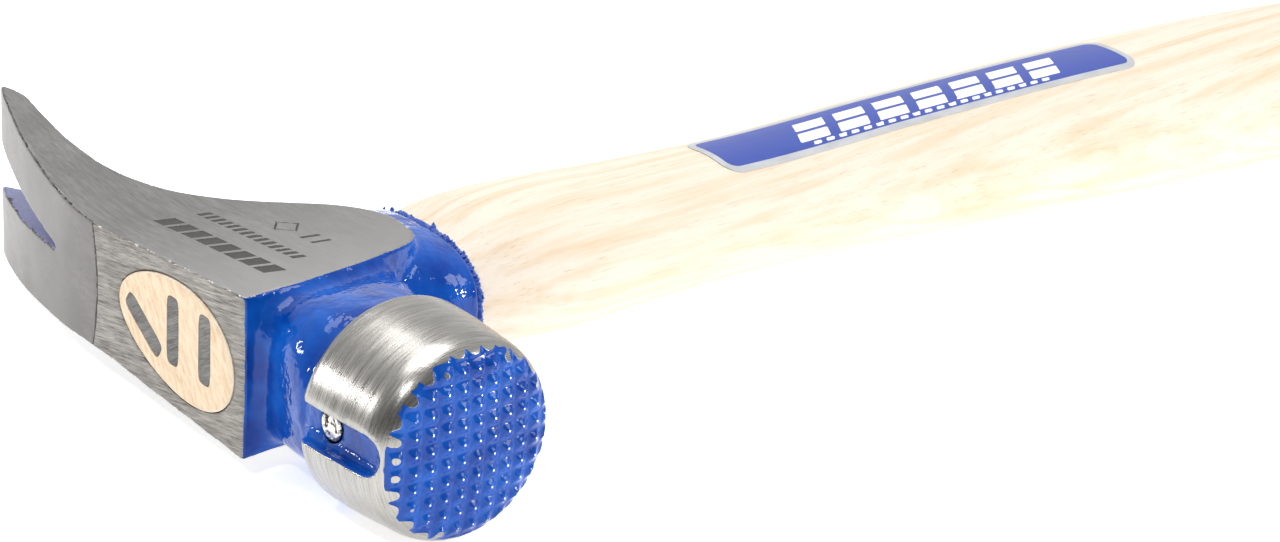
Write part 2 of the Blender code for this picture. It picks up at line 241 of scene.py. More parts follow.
HANDLE_TABLE = smooth_rows(HANDLE_ROWS)


def cheek_distance(x, z):
    """Distance out of the plane of the nearer cheek, which goes on as the side of the claw."""
    half = np.interp(x, PLAN_ROWS[:, 0], PLAN_ROWS[:, 1])
    return (np.abs(z) - half) * CHEEK_LEAN


def egg_distance(table, x, y, z):
    """Distance to a shape like the eye or the skirt, from its sampled table."""
    middle, half_x, half_z, egg, lean, power = read_rows(table, y)
    along = np.clip((x - middle) / half_x, -1, 1)
    return oval_distance(x - middle, z - lean * along, half_x, half_z * (1 + egg * along), power)


def groove_distance(x, y, z):
    """Distance to the space of the nail starter groove."""
    plan = np.hypot(np.maximum(x - GROOVE_ROUND_X, 0), z - GROOVE_Z) - GROOVE_HALF
    return np.maximum(trim(plan, y - GROOVE_FLOOR_Y, GROOVE_CORNER), GROOVE_BACK_X - x)


def slot_distance(x, z):
    """Distance to the tapered slot between the claws."""
    half = np.interp(x, *np.transpose(SLOT_ROWS))
    end = np.hypot(x - SLOT_END_X, z - SLOT_Z) - SLOT_END_HALF
    return np.where(x < SLOT_END_X, np.abs(z - SLOT_Z) - half, end)


def rim_surface(y, z):
    """X of the poll's crowned end with its rounded rim, before it is milled."""
    radius = np.hypot(y, z)
    crown = -radius ** 2 / (2 * CROWN_RADIUS)
    side = radius - FACE_RADIUS
    near = np.maximum(FACE_RIM_BLEND - np.abs(side), 0) / FACE_RIM_BLEND
    return crown - np.where(side < 0, near * near * FACE_RIM_BLEND / 4, FACE_RIM_BLEND / 4 + side * 1.5)


def from_tip(y, z):
    """Where a spot lies from the nearest pyramid's tip, in pitches along Y and Z."""
    return (y / MILL_PITCH - MILL_SHIFT_Y + 0.5) % 1 - 0.5, (z / MILL_PITCH - MILL_SHIFT_Z + 0.5) % 1 - 0.5


def milled_surface(y, z):
    """X of the pyramids that two sets of crossing grooves leave."""
    across, along = (np.abs(part) * 2 for part in from_tip(y, z))
    fall = trim(np.hypot(across, 0.2), np.hypot(along, 0.2), 0.5) - 0.2     # lacquer rounds the tips
    fall = join(1.35 * fall, np.full(fall.shape, 0.82), 0.35)              # and fills the grooves
    crown = -(y ** 2 + z ** 2) / (2 * CROWN_RADIUS)
    return crown - MILL_DEPTH * fall - MILL_TILT * y


def head_distance(p):
    """Distance to the surface of the head without its milling, negative inside the steel."""
    x, y, z = p[:, 0], p[:, 1], p[:, 2]
    slab = trim(outline_distance(SIDE_OUTLINE, x, y), cheek_distance(x, z), SLAB_ROUND)

    skirt = trim(egg_distance(SKIRT_TABLE, x, y, z), y - LIP_Y, LIP_ROUND)
    skirt = np.maximum(skirt, -y)

    middle, half_y, half_z, power = read_rows(NECK_TABLE, x)
    slope = np.interp(x, NECK_TABLE[:, 0], np.gradient(NECK_TABLE[:, 3], NECK_TABLE[:, 0]))
    neck = oval_distance(y - middle, z, half_y, half_z, power) / np.hypot(1, slope)
    neck = np.maximum(neck, NECK_START_X - x)
    crown = x + (y ** 2 + z ** 2) / (2 * CROWN_RADIUS)
    neck = np.where(x > -12, trim(neck, crown, FACE_RIM_BLEND), neck)

    head = join(join(slab, skirt, SKIRT_FILLET), neck, NECK_FILLET)
    free = np.maximum(x - SHOULDER_X, 0) * 1.2              # the ground planes end at the end face
    ground = np.maximum(cheek_distance(x, z), HEAD_TOP_Y - y) - free
    head = np.where(x > SHOULDER_X + 12, head, trim(head, ground, GRIND_ROUND))

    head = trim(head, -egg_distance(EYE_TABLE, x, y, z), EYE_ROUND)
    head = trim(head, -slot_distance(x, z), SLOT_ROUND)
    head = trim(head, -groove_distance(x, y, z), GROOVE_ROUND)
    wall = np.hypot(x - MAGNET_X, z - GROOVE_Z) - MAGNET_RADIUS - POCKET_GAP
    return trim(head, -np.maximum(wall, y - MAGNET_FOOT_Y - POCKET_GAP), POCKET_ROUND)


def surface_mesh(distance, low, high, step):
    """Corners and triangles of the surface where distance is zero."""
    counts = [int(math.ceil((b - a) / step)) + 1 for a, b in zip(low, high)]
    axes = [a + step * np.arange(n) for a, n in zip(low, counts)]
    values = np.empty(counts)
    for i, x in enumerate(axes[0]):
        y, z = np.meshgrid(axes[1], axes[2], indexing="ij")
        slab = np.stack((np.full(y.size, x), y.ravel(), z.ravel()), axis=1)
        values[i] = distance(slab).reshape(y.shape)
    number = -np.ones(counts, dtype=np.int64)
    total = np.zeros(tuple(counts) + (3,))
    hits = np.zeros(counts)
    quads = []
    for axis in range(3):
        u, v = (axis + 1) % 3, (axis + 2) % 3
        first = np.moveaxis(values, axis, 0)[:-1]
        second = np.moveaxis(values, axis, 0)[1:]
        found = np.argwhere((first < 0) != (second < 0))
        a = first[tuple(found.T)]
        b = second[tuple(found.T)]
        place = np.empty_like(found)
        order = [axis] + [k for k in range(3) if k != axis]
        place[:, order] = found
        spot = place.astype(float)
        spot[:, axis] += a / (a - b)
        cells = []
        for back_u, back_v in ((0, 0), (1, 0), (1, 1), (0, 1)):
            cell = place.copy()
            cell[:, u] -= back_u
            cell[:, v] -= back_v
            np.add.at(total, tuple(cell.T), spot)
            np.add.at(hits, tuple(cell.T), 1)
            cells.append(cell)
        turn = (a > 0)[:, None]
        quads.append([np.where(turn, cells[k], cells[(4 - k) % 4]) for k in range(4)])
    used = hits > 0
    number[used] = np.arange(used.sum())
    points = total[used] / hits[used][:, None] * step + np.array(low)
    triangles = []
    for corners in quads:
        n = [number[tuple(c.T)] for c in corners]
        triangles.append(np.stack((n[0], n[2], n[1]), axis=1))
        triangles.append(np.stack((n[0], n[3], n[2]), axis=1))
    return points, np.concatenate(triangles)


def slope_of(distance, points, step=0.02):
    """The gradient of a distance at points."""
    return np.stack([(distance(points + step * axis) - distance(points - step * axis)) / (2 * step)
                     for axis in np.eye(3)], axis=1)


def settle(distance, points, rounds=3, limit=0.4):
    """Moves points straight onto the surface where distance is zero."""
    for _ in range(rounds):
        slope = slope_of(distance, points)
        move = distance(points)[:, None] * slope / np.maximum((slope ** 2).sum(axis=1), 0.2)[:, None]
        points = points - np.clip(move, -limit, limit)
    return points


def split_edges(points, triangles, share_of):
    """Splits triangles where share_of gives an edge a place from 0 to 1; nan leaves the edge whole."""
    starts = triangles
    ends = np.roll(triangles, -1, axis=1)
    key = np.minimum(starts, ends) * (len(points) + 1) + np.maximum(starts, ends)
    keys, back = np.unique(key, return_inverse=True)
    a, b = keys // (len(points) + 1), keys % (len(points) + 1)
    share = share_of(a, b)
    cut = np.isfinite(share)
    number = np.full(len(keys), -1)
    number[cut] = len(points) + np.arange(cut.sum())
    added = points[a[cut]] + (points[b[cut]] - points[a[cut]]) * share[cut][:, None]
    middle = number[back.reshape(triangles.shape)]
    has = middle >= 0
    pieces = [triangles[has.sum(axis=1) == 0]]
    for turn in range(3):
        corner = np.roll(triangles, -turn, axis=1).T
        mid = np.roll(middle, -turn, axis=1).T
        one = (mid[0] >= 0) & (mid[1] < 0) & (mid[2] < 0)
        pieces.append(np.stack((corner[0], mid[0], corner[2]), axis=1)[one])
        pieces.append(np.stack((mid[0], corner[1], corner[2]), axis=1)[one])
        two = (mid[0] < 0) & (mid[1] >= 0) & (mid[2] >= 0)
        pieces.append(np.stack((corner[2], mid[2], mid[1]), axis=1)[two])
        pieces.append(np.stack((corner[0], corner[1], mid[1]), axis=1)[two])
        pieces.append(np.stack((corner[0], mid[1], mid[2]), axis=1)[two])
    every = has.all(axis=1)
    corner, mid = triangles[every].T, middle[every].T
    for trio in ((corner[0], mid[0], mid[2]), (mid[0], corner[1], mid[1]), (mid[2], mid[1], corner[2]), mid):
        pieces.append(np.stack(trio, axis=1))
    return np.concatenate((points, added)), np.concatenate(pieces)


def halve_edges(points, triangles, chosen, meet=np.logical_and):
    """Halves the edges with both ends chosen, or with either end when meet is np.logical_or."""
    return split_edges(points, triangles, lambda a, b: np.where(meet(chosen[a], chosen[b]), 0.5, np.nan))


ON_LINE = 0.03            # a corner this near a line counts as on it, so that no sliver is cut


def cut_along(points, triangles, field, where=None):
    """Cuts the triangles along the line where field is zero, so that a finish can end there."""
    value = field(points)
    value[np.abs(value) < ON_LINE] = 0
    if where is not None:
        value[~where(points)] = np.nan

    def share_of(a, b):
        with np.errstate(invalid="ignore", divide="ignore"):
            return np.where(value[a] * value[b] < 0, value[a] / (value[a] - value[b]), np.nan)

    return split_edges(points, triangles, share_of)


# Finishes of the head, each a material slot of its mesh; the bright edge line and the tip specks are painted
# highlights, the dark edge line and the root line are painted shade
CHEEK, TOP, CLAW, POLL, LACQUER, SLOT, STAMP_AND_ROOT_SHADE, EDGE_HIGHLIGHT, EDGE_SHADE, TIP_HIGHLIGHT = range(10)
GROUND_DEPTH = 0.24       # how far under a ground plane the grinding still reaches
STAMP_DEPTH = 0.12
ROOT_LINE_DEPTH = 0.10
LINE_HALF = 0.17          # half the width of the line at the root and of the painted shade line along the slot
CLAW_LACQUER_X = -96.0    # where the lacquer ends on the inner side of the claws
POLL_BACK_X = -23.4       # where the bare steel of the poll ends
MILLED_FROM_X = -6.0
# Size and place of the painted highlight beside each milled tip
TIP_HIGHLIGHT_RADIUS = 0.17
TIP_HIGHLIGHT_Y = 0.08
TIP_HIGHLIGHT_Z = 0.10


def side_field(p):
    return cheek_distance(p[:, 0], p[:, 2]) + GROUND_DEPTH + 0.02 * ripple(p, 1.7, 3)


def top_field(p):
    return HEAD_TOP_Y - p[:, 1] + GROUND_DEPTH + 0.02 * ripple(p, 1.5, 4)


def claw_field(p):
    return ROOT_X + 0.5 - 0.012 * p[:, 2] ** 2 + 0.12 * ripple(p, 5.0, 5) - p[:, 0]


def claw_lacquer_field(p):
    return p[:, 0] - CLAW_LACQUER_X + 1.2 * ripple(p, 6.0, 6)


def poll_field(p):
    return p[:, 0] - POLL_BACK_X + 0.10 * ripple(p, 3.0, 7)


def groove_field(p):
    return 0.22 - groove_distance(p[:, 0], p[:, 1], p[:, 2]) + 0.04 * ripple(p, 2.0, 8)


def mill_field(p):
    return rim_surface(p[:, 1], p[:, 2]) - milled_surface(p[:, 1], p[:, 2])


def tip_highlight_field(p):
    """Painted highlights beside the pyramids' tips: specks of bright metal that stand in for pin-point
    lights too small for a lamp to draw.
    """
    y, z = (part * MILL_PITCH for part in from_tip(p[:, 1], p[:, 2]))
    return TIP_HIGHLIGHT_RADIUS - np.hypot(y - TIP_HIGHLIGHT_Y, z - TIP_HIGHLIGHT_Z)


def slot_field(p):
    return 0.24 - slot_distance(p[:, 0], p[:, 2])


def bars(x, y, first, last, count, low, high, fill, slant):
    """Distance to a row of equal slanted bars, which stands in for a line of marks."""
    pitch = (last - first) / count
    along = x - slant * (y - low) - first
    nearest = np.clip(np.floor(along / pitch), 0, count - 1) * pitch + pitch / 2
    return np.maximum(np.abs(along - nearest) - pitch * fill / 2,
                      np.abs(y - (low + high) / 2) - (high - low) / 2)


def stamp_field(p):
    """Plain bars and ticks struck in the upper cheek; they spell nothing."""
    x, y = p[:, 0], p[:, 1]
    blocks = bars(x, y, -84.0, -49.0, 8, -6.9, -3.1, fill=0.80, slant=0.30)
    ticks = bars(x, y, -82.5, -52.0, 14, 0.9, 3.3, fill=0.62, slant=0.25)
    lozenge = np.abs(np.abs(x + 67.0) + np.abs(y - 9.4) * 1.2 - 2.9) - 0.3
    pair = bars(x, y, -62.2, -55.8, 2, 7.9, 11.4, fill=0.30, slant=0.2)
    return -np.minimum(np.minimum(np.minimum(blocks, ticks), lozenge), pair)


def root_shade_field(p):
    """The shallow line where the claws' own grinding stops short of the flat top, painted dark as shade in
    that crease.
    """
    inward = -cheek_distance(p[:, 0], p[:, 2]) - 0.2
    return np.minimum(LINE_HALF - np.abs(claw_field(p)), inward)


def edge_field(p):
    """Positive near the long edges that the ground planes leave, with nicks in them: where the painted edge
    highlight and edge shade go.
    """
    near = np.minimum(outline_distance(SIDE_OUTLINE, p[:, 0], p[:, 1]), cheek_distance(p[:, 0], p[:, 2]))
    return near + 0.26 + 0.12 * ripple(p, 2.2, 9) + 0.10 * ripple(p, 0.8, 10)


def on_body(p):
    return p[:, 0] < SHOULDER_X + 1.5


def on_edges(p):
    return (p[:, 0] < SHOULDER_X) & (np.abs(cheek_distance(p[:, 0], p[:, 2])) < 1.2) & (p[:, 1] < 0)


def on_face(p):
    return (p[:, 0] > -4.0) & (np.hypot(p[:, 1], p[:, 2]) < 17.25)


def on_stamp(p):
    x, y, z = p[:, 0], p[:, 1], p[:, 2]
    return (z > 11.0) & (x > -88.0) & (x < -46.0) & (y > -9.0) & (y < 14.0)


def head_finish(p):
    """The finish of each spot on the head."""
    finish = np.full(len(p), LACQUER)
    body = on_body(p)
    claw = claw_field(p)
    upper = p[:, 1] < np.interp(p[:, 0], (TIP_X, ROOT_X), (-3.0, -12.0))
    finish[claw > 0] = CLAW
    finish[body & (p[:, 1] > 0) & (claw_lacquer_field(p) > 0)] = LACQUER
    finish[body & (top_field(p) > 0) & (claw <= 0)] = TOP
    finish[(p[:, 0] < SHOULDER_X - 1.5) & (p[:, 1] < -15.2) & (claw <= 0)] = TOP
    finish[body & (side_field(p) > 0)] = CHEEK
    # Painted shade in the shallow line at the claws' root
    finish[upper & (root_shade_field(p) > 0)] = STAMP_AND_ROOT_SHADE
    # The ground edges: a painted highlight on the body, painted shade on the claws
    edge = (p[:, 0] < SHOULDER_X - 0.4) & upper & (edge_field(p) > 0)
    finish[edge & (claw <= 0)] = EDGE_HIGHLIGHT
    finish[edge & (claw > 0)] = EDGE_SHADE
    slot = slot_field(p)
    finish[(p[:, 0] < SLOT_END_X + 1) & (slot > 0)] = SLOT
    # A line of painted shade along the slot's edge on the upper side
    slot_shade = np.abs(slot + 0.05 + 0.10 * ripple(p, 2.4, 11)) < LINE_HALF
    finish[(p[:, 0] < SLOT_END_X + 1) & (p[:, 2] < SLOT_Z) & upper & slot_shade] = EDGE_SHADE
    finish[on_stamp(p) & (side_field(p) > 0) & (stamp_field(p) > 0)] = STAMP_AND_ROOT_SHADE
    finish[(poll_field(p) > 0) & (groove_field(p) <= 0)] = POLL
    milled = mill_field(p)
    finish[(p[:, 0] > MILLED_FROM_X) & (milled > 0)] = LACQUER
    # Painted highlights beside the milled tips
    finish[(p[:, 0] > MILLED_FROM_X) & (milled > 0.05) & (tip_highlight_field(p) > 0)] = TIP_HIGHLIGHT
    return finish


def build_head_mesh(step):
    """The head's points, triangles and finishes, with the cells of its surface a step wide."""
    # The low corner keeps the grid off the ground planes, where cells would crease
    points, triangles = surface_mesh(head_distance, (-146.07, -19.33, -19.41), (1.2, 35.0, 19.3), step)
    points = settle(head_distance, points)
    for _ in range(2):
        fine = (points[:, 0] > -4.4) & (np.hypot(points[:, 1], points[:, 2]) < 18.0)
        points, triangles = halve_edges(points, triangles, fine, np.logical_or)
    for field in (mill_field, tip_highlight_field):
        points, triangles = cut_along(points, triangles, field, on_face)
    points, triangles = halve_edges(points, triangles, on_edges(points))
    for field, where in ((side_field, on_body), (top_field, on_body), (edge_field, on_edges),
                         (claw_field, lambda p: p[:, 0] < ROOT_X + 4),
                         (root_shade_field, lambda p: (np.abs(p[:, 0] - ROOT_X) < 4) & (p[:, 1] < -10)),
                         (claw_lacquer_field, lambda p: p[:, 0] < ROOT_X),
                         (poll_field, lambda p: (p[:, 0] > -26) & (p[:, 0] < -21)),
                         (groove_field, lambda p: (p[:, 0] > -25) & (p[:, 0] < -3.5)),
                         (slot_field, lambda p: p[:, 0] < SLOT_END_X + 2)):
        points, triangles = cut_along(points, triangles, field, where)
    points, triangles = halve_edges(points, triangles, on_stamp(points))
    points, triangles = cut_along(points, triangles, stamp_field, on_stamp)
    finish = head_finish(points[triangles].mean(axis=1))
    struck = on_stamp(points)
    points[struck, 2] -= STAMP_DEPTH * np.clip(stamp_field(points[struck]) / STAMP_DEPTH, 0, 1)
    root = (points[:, 1] < -14.0) & (root_shade_field(points) > 0)
    points[root, 1] += ROOT_LINE_DEPTH
    face = on_face(points)
    points[face, 0] -= np.maximum(mill_field(points[face]), 0)
    return points, triangles, finish


# ---------------------------------------------------------------- meshes, materials and pieces

SHARP_ANGLE = 40          # degrees between faces past which an edge is drawn sharp


def new_piece(name, points, triangles, materials, finish=None, replaces=(), sharp=None):
    """A visible piece from points in head millimetres, riding on the one body."""
    mesh = bpy.data.meshes.new(name)
    mesh.vertices.add(len(points))
    mesh.vertices.foreach_set("co", to_frame(points).ravel())
    mesh.loops.add(triangles.size)
    mesh.loops.foreach_set("vertex_index", triangles.ravel())
    mesh.polygons.add(len(triangles))
    mesh.polygons.foreach_set("loop_start", np.arange(len(triangles)) * 3)
    for made in materials:
        mesh.materials.append(made)
    if finish is not None:
        mesh.polygons.foreach_set("material_index", np.asarray(finish, dtype=np.int32))
    mesh.update(calc_edges=True)
    mesh.validate()
    mesh.shade_smooth()
    if sharp:
        mesh.set_sharp_from_angle(angle=math.radians(sharp))
    piece = bpy.data.objects.new(name, mesh)
    bpy.context.scene.collection.objects.link(piece)
    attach(piece, "root")
    if replaces:
        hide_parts(*replaces)
    return piece


def colour(code):
    """An sRGB hex colour as linear numbers."""
    parts = [int(code[i:i + 2], 16) / 255 for i in (1, 3, 5)]
    return tuple(c / 12.92 if c <= 0.04045 else ((c + 0.055) / 1.055) ** 2.4 for c in parts) + (1.0,)


def node(tree, kind, inputs=None, **settings):
    """Adds a shader node; each input is a socket to link, a hex colour, or a plain value."""
    made = tree.nodes.new("ShaderNode" + kind)
    for key, value in settings.items():
        setattr(made, key, value)
    for key, value in (inputs or {}).items():
        if isinstance(value, bpy.types.NodeSocket):
            tree.links.new(value, made.inputs[key])
        else:
            made.inputs[key].default_value = colour(value) if isinstance(value, str) else value
    return made


def start_material(name, **values):
    """A material with its shader and a texture position in millimetres."""
    made = bpy.data.materials.new(name)
    made.use_nodes = True
    tree = made.node_tree
    shader = tree.nodes["Principled BSDF"]
    for key, value in values.items():
        shader.inputs[key.replace("_", " ")].default_value = value
    position = node(tree, "TexCoord").outputs["Object"]
    mm = node(tree, "VectorMath", {0: position, "Scale": 1 / MM}, operation="SCALE").outputs[0]
    return made, tree, shader, mm


def pattern(tree, mm, sizes, turn=(0.0, 0.0, 0.0), detail=2.0, rough=0.55):
    """Random cloudiness whose spots are `sizes` millimetres long on each axis."""
    turned = node(tree, "VectorRotate", {"Vector": mm, "Rotation": turn},
                  rotation_type="EULER_XYZ").outputs[0]
    squeezed = node(tree, "VectorMath", {0: turned, 1: sizes}, operation="DIVIDE").outputs[0]
    return node(tree, "TexNoise",
                {"Vector": squeezed, "Scale": 1.0, "Detail": detail, "Roughness": rough}).outputs[0]


def tones(tree, source, low, high, first, second, most=1.0):
    """Goes from the first tone to the second as a pattern rises from low to high."""
    share = node(tree, "MapRange",
                 {"Value": source, "From Min": low, "From Max": high, "To Max": most}).outputs[0]
    return node(tree, "Mix", {0: share, 6: first, 7: second}, data_type="RGBA").outputs[2]


def surface(tree, shader, base, source, low, high, roughness, depth_mm):
    """Joins up a shader: its colour, and a roughness and relief that follow a pattern."""
    shine = node(tree, "MapRange", {"Value": source, "From Min": low, "From Max": high,
                                    "To Min": roughness[0], "To Max": roughness[1]}).outputs[0]
    raised = node(tree, "Bump", {"Height": source, "Distance": depth_mm * MM}).outputs[0]
    for key, socket in (("Base Color", base), ("Roughness", shine), ("Normal", raised)):
        tree.links.new(socket, shader.inputs[key])


# Where the painted reflection on the cheek turns the steel paler, from the claws towards the face
PAINTED_SHEEN_FROM_X = -82.0
PAINTED_SHEEN_TO_X = -44.0


def ground_steel(name, dark, light, scratch_mm, turn, roughness, depth_mm, cloud=0.5, paler=None):
    """Bare steel off a grinding belt: fine parallel scratches, light on dark, under soft clouds.
    The scratches are wider than real grit leaves, so that they show.  With `paler` given, the metal turns to
    it from the claws towards the face, as a painted reflection."""
    made, tree, shader, mm = start_material(name, Metallic=1.0)
    fine = pattern(tree, mm, scratch_mm, turn, 3.0, 0.65)
    coarse = pattern(tree, mm, tuple(3.5 * s for s in scratch_mm), turn, 2.0, 0.6)
    clouds = pattern(tree, mm, (9.0, 9.0, 9.0), detail=3.0)
    scratch = node(tree, "Math", {0: coarse, 1: 0.6, 2: fine}, operation="MULTIPLY_ADD").outputs[0]
    metal = tones(tree, scratch, 0.55, 1.05, dark, light)
    metal = tones(tree, clouds, 0.35, 0.7, metal, dark, cloud)
    if paler:
        # A painted reflection: paler from the claws towards the face
        along = node(tree, "SeparateXYZ", {0: mm}).outputs[0]
        metal = tones(tree, along, PAINTED_SHEEN_FROM_X - ORIGIN[0], PAINTED_SHEEN_TO_X - ORIGIN[0], metal, paler, 0.8)
    surface(tree, shader, metal, scratch, 0.5, 1.1, roughness, depth_mm)
    return made


def poll_steel():
    """Bare steel brushed round the poll: bright bands run along it, crossed by hairs round the rim."""
    made, tree, shader, mm = start_material("poll_brushed_steel", Metallic=1.0)
    axis = tuple(to_frame((0.0, 0.0, 0.0)) / MM)
    centred = node(tree, "VectorMath", {0: mm, 1: axis}, operation="SUBTRACT").outputs[0]
    parts = node(tree, "SeparateXYZ", {0: centred}).outputs
    angle = node(tree, "Math", {0: parts[2], 1: parts[1]}, operation="ARCTAN2").outputs[0]
    ring = node(tree, "CombineXYZ", {0: parts[0], 1: angle}).outputs[0]
    hair = pattern(tree, ring, (0.14, 0.38, 1.0), detail=3.0, rough=0.6)
    wide = pattern(tree, ring, (1.1, 0.6, 1.0))
    both = node(tree, "Math", {0: wide, 1: 0.5, 2: hair}, operation="MULTIPLY_ADD").outputs[0]
    metal = tones(tree, both, 0.5, 1.0, "#868480", "#b6b4af")
    surface(tree, shader, metal, both, 0.5, 1.0, (0.20, 0.33), 0.016)
    return made


def blue_lacquer():
    """Lacquer dipped thickly over rough forging: deep wet blue with sharp lights on its soft dents."""
    made, tree, shader, mm = start_material("dipped_blue_lacquer", IOR=1.35)
    dents = pattern(tree, mm, (4.2, 4.2, 4.2))
    peel = pattern(tree, mm, (1.2, 1.2, 1.2), detail=1.0)
    both = node(tree, "Math", {0: dents, 1: 4.0, 2: peel}, operation="MULTIPLY_ADD").outputs[0]
    pool = tones(tree, pattern(tree, mm, (7.0, 7.0, 7.0)), 0.35, 0.68, "#053a90", "#0f55b2")
    surface(tree, shader, pool, both, 0.0, 5.0, (0.05, 0.08), 0.085)
    return made


def hickory(name, pale, dark, streak_mm, pore_mm, turn):
    """Sanded hickory: soft darker streaks and fine short pores that follow the grain."""
    made, tree, shader, mm = start_material(name, IOR=1.45)
    streaks = pattern(tree, mm, streak_mm, turn, 4.0)
    pores = pattern(tree, mm, pore_mm, turn, 2.0, 0.6)
    cloud = pattern(tree, mm, tuple(4 * s for s in streak_mm), turn)
    wood = tones(tree, streaks, 0.42, 0.70, pale, dark)
    wood = tones(tree, cloud, 0.35, 0.7, wood, pale, 0.55)
    wood = tones(tree, pores, 0.60, 0.72, wood, "#b8936c", 0.35)
    surface(tree, shader, wood, pores, 0.3, 0.7, (0.46, 0.58), 0.04)
    return made


def uneven(name, first, second, spot_mm, roughness, depth_mm, metallic=0.0, low=0.35, high=0.65):
    """One coat or metal that wavers between two tones in spots of the given size."""
    made, tree, shader, mm = start_material(name, Metallic=metallic)
    spots = pattern(tree, mm, spot_mm, detail=3.0, rough=0.6)
    coat = tones(tree, spots, low, high, first, second)
    surface(tree, shader, coat, spots, low, high, roughness, depth_mm)
    return made


# Order of the finishes above
HEAD_MATERIALS = (
    # Mid grey with hairlines from the claws to the face, and paler towards the face as a painted reflection
    ground_steel("cheek_belt_ground_steel", "#727170", "#9b9a98", (6.0, 0.22, 0.22), (0, 0, 0.03),
                 (0.35, 0.50), 0.015, paler="#a9a8a6"),
    # Darker and coarser: light and dark scratches across the end grain side
    ground_steel("head_top_coarse_ground_steel", "#444240", "#aaa6a0", (3.2, 0.4, 0.20), (0, 0.16, 0),
                 (0.36, 0.54), 0.06, cloud=0.3),
    # Nearly plain satin grey with faint stains
    ground_steel("claw_satin_steel", "#636160", "#7e7c79", (2.0, 0.5, 0.5), (0, 0, 0),
                 (0.33, 0.48), 0.01, cloud=0.7),
    poll_steel(),
    blue_lacquer(),
    # Lilac grey, steel seen through a thin run of lacquer
    uneven("slot_thinly_lacquered_steel", "#70749c", "#8d8fb4", (1.2, 0.4, 1.2),
           (0.34, 0.43), 0.05, metallic=0.6),
    # Dull dark grey: oxide in the bottom of each stamped mark, and painted shade in the line at the claws'
    # root
    uneven("stamped_oxide_and_root_shade_steel", "#454442", "#575552", (0.5, 0.5, 0.5),
           (0.51, 0.60), 0.05, metallic=0.8),
    # A thin bright line of painted highlight along the ground edges, broken by darker nicks
    uneven("edge_painted_highlight_steel", "#77746f", "#d4d1cb", (1.6, 0.6, 1.6),
           (0.30, 0.42), 0.10, metallic=0.9, low=0.42, high=0.60),
    # A thin near-black line of painted shade along the claws' edges, where the two grinds meet, and along
    # the slot's edge, with a few bright flecks
    uneven("dark_edge_painted_shade_steel", "#2d2c2a", "#6d6b67", (1.2, 0.8, 1.2),
           (0.45, 0.60), 0.10, metallic=0.8, low=0.45, high=0.66),
    # White pin-point highlights beside the milled tips, painted as bright metal and drawn wider than the
    # real lights so that they show
    uneven("tip_painted_highlight_steel", "#e4e7f0", "#f4f6fa", (0.5, 0.5, 0.5), (0.22, 0.32), 0.01, metallic=1.0),
)


def ring_points(y, grow=0.0, count=96):
    """The oval of the handle at y, squarer where it enters the eye."""
    middle, depth, thick = [float(v) for v in read_rows(HANDLE_TABLE, y)]
    power = max(2.5 - 0.015 * (y - LIP_Y), GRIP_SQUARENESS)
    angle = np.arange(count) * math.tau / count
    along, across = np.cos(angle), np.sin(angle)
    return np.stack((middle + (depth + grow) * np.sign(along) * np.abs(along) ** (2 / power),
                     np.full(count, y),
                     (thick + grow) * np.sign(across) * np.abs(across) ** (2 / power)), axis=1)


def eye_points(y, grow, count=96):
    """The oval of the tenon inside the eye at y."""
    middle, half_x, half_z, egg, lean, power = [float(v) for v in read_rows(EYE_TABLE, y)]
    angle = np.arange(count) * math.tau / count
    c, s = np.cos(angle), np.sin(angle)
    along = np.sign(c) * np.abs(c) ** (2 / power)
    across = np.sign(s) * np.abs(s) ** (2 / power) * (1 + egg * c)
    return np.stack((middle + (half_x + grow) * along, np.full(count, y),
                     (half_z + grow) * across + lean * along), axis=1)


def loft(rings):
    """Points and triangles of a closed skin through equal rings that follow one another along +Y."""
    count = len(rings[0])
    points = np.concatenate(rings + [rings[0].mean(axis=0)[None], rings[-1].mean(axis=0)[None]])
    near, far = len(points) - 2, len(points) - 1
    k = np.arange(count)
    after = (k + 1) % count
    faces = []
    for row in range(len(rings) - 1):
        a, b = row * count + k, row * count + after
        faces += [np.stack((a, b + count, b), axis=1), np.stack((a, a + count, b + count), axis=1)]
    faces.append(np.stack((k, after, np.full(count, near)), axis=1))
    last = (len(rings) - 1) * count
    faces.append(np.stack((last + after, last + k, np.full(count, far)), axis=1))
    return points, np.concatenate(faces)


# ---------------------------------------------------------------- build

HEAD_STEP = 0.55
points, triangles, finish = build_head_mesh(HEAD_STEP)
new_piece("hammer_head", points, triangles, HEAD_MATERIALS, finish, ("head",))


def handle_skin():
    """The handle from the ground end grain, through the eye, to the rounded butt."""
    rings = [eye_points(HEAD_TOP_Y, -2.2), eye_points(HEAD_TOP_Y, -0.4)]
    rings += [eye_points(y, -EYE_GAP) for y in (HEAD_TOP_Y + 0.2, *np.linspace(-14.0, LIP_Y - 0.4, 24))]
    rings += [ring_points(y) for y in np.linspace(LIP_Y, 60.0, 30)]
    rings += [ring_points(y) for y in np.linspace(62.0, BUTT_Y - BUTT_ROUND, 150)]
    rings += [ring_points(BUTT_Y - BUTT_ROUND + BUTT_ROUND * math.sin(a), -BUTT_ROUND * (1 - math.cos(a)))
              for a in np.radians((30, 50, 70, 90))]
    return loft(rings)


points, triangles = handle_skin()
WOOD = (
    hickory("sanded_hickory", "#e1d5c5", "#d3b994", (2.0, 60.0, 4.0), (0.35, 8.0, 0.35), (0.0, 0.0, -0.05)),
    # Cut across: short flecks in growth lines that slant over the end
    hickory("hickory_end_grain", "#dfccb0", "#cba67c", (0.9, 8.0, 2.8), (0.4, 2.0, 0.5), (0.0, 0.5, 0.0)))
end = (points[triangles][:, :, 1].max(axis=1) < HEAD_TOP_Y + 0.1).astype(np.int32)
handle = new_piece("hickory_handle", points, triangles, WOOD, end, ("handle",))

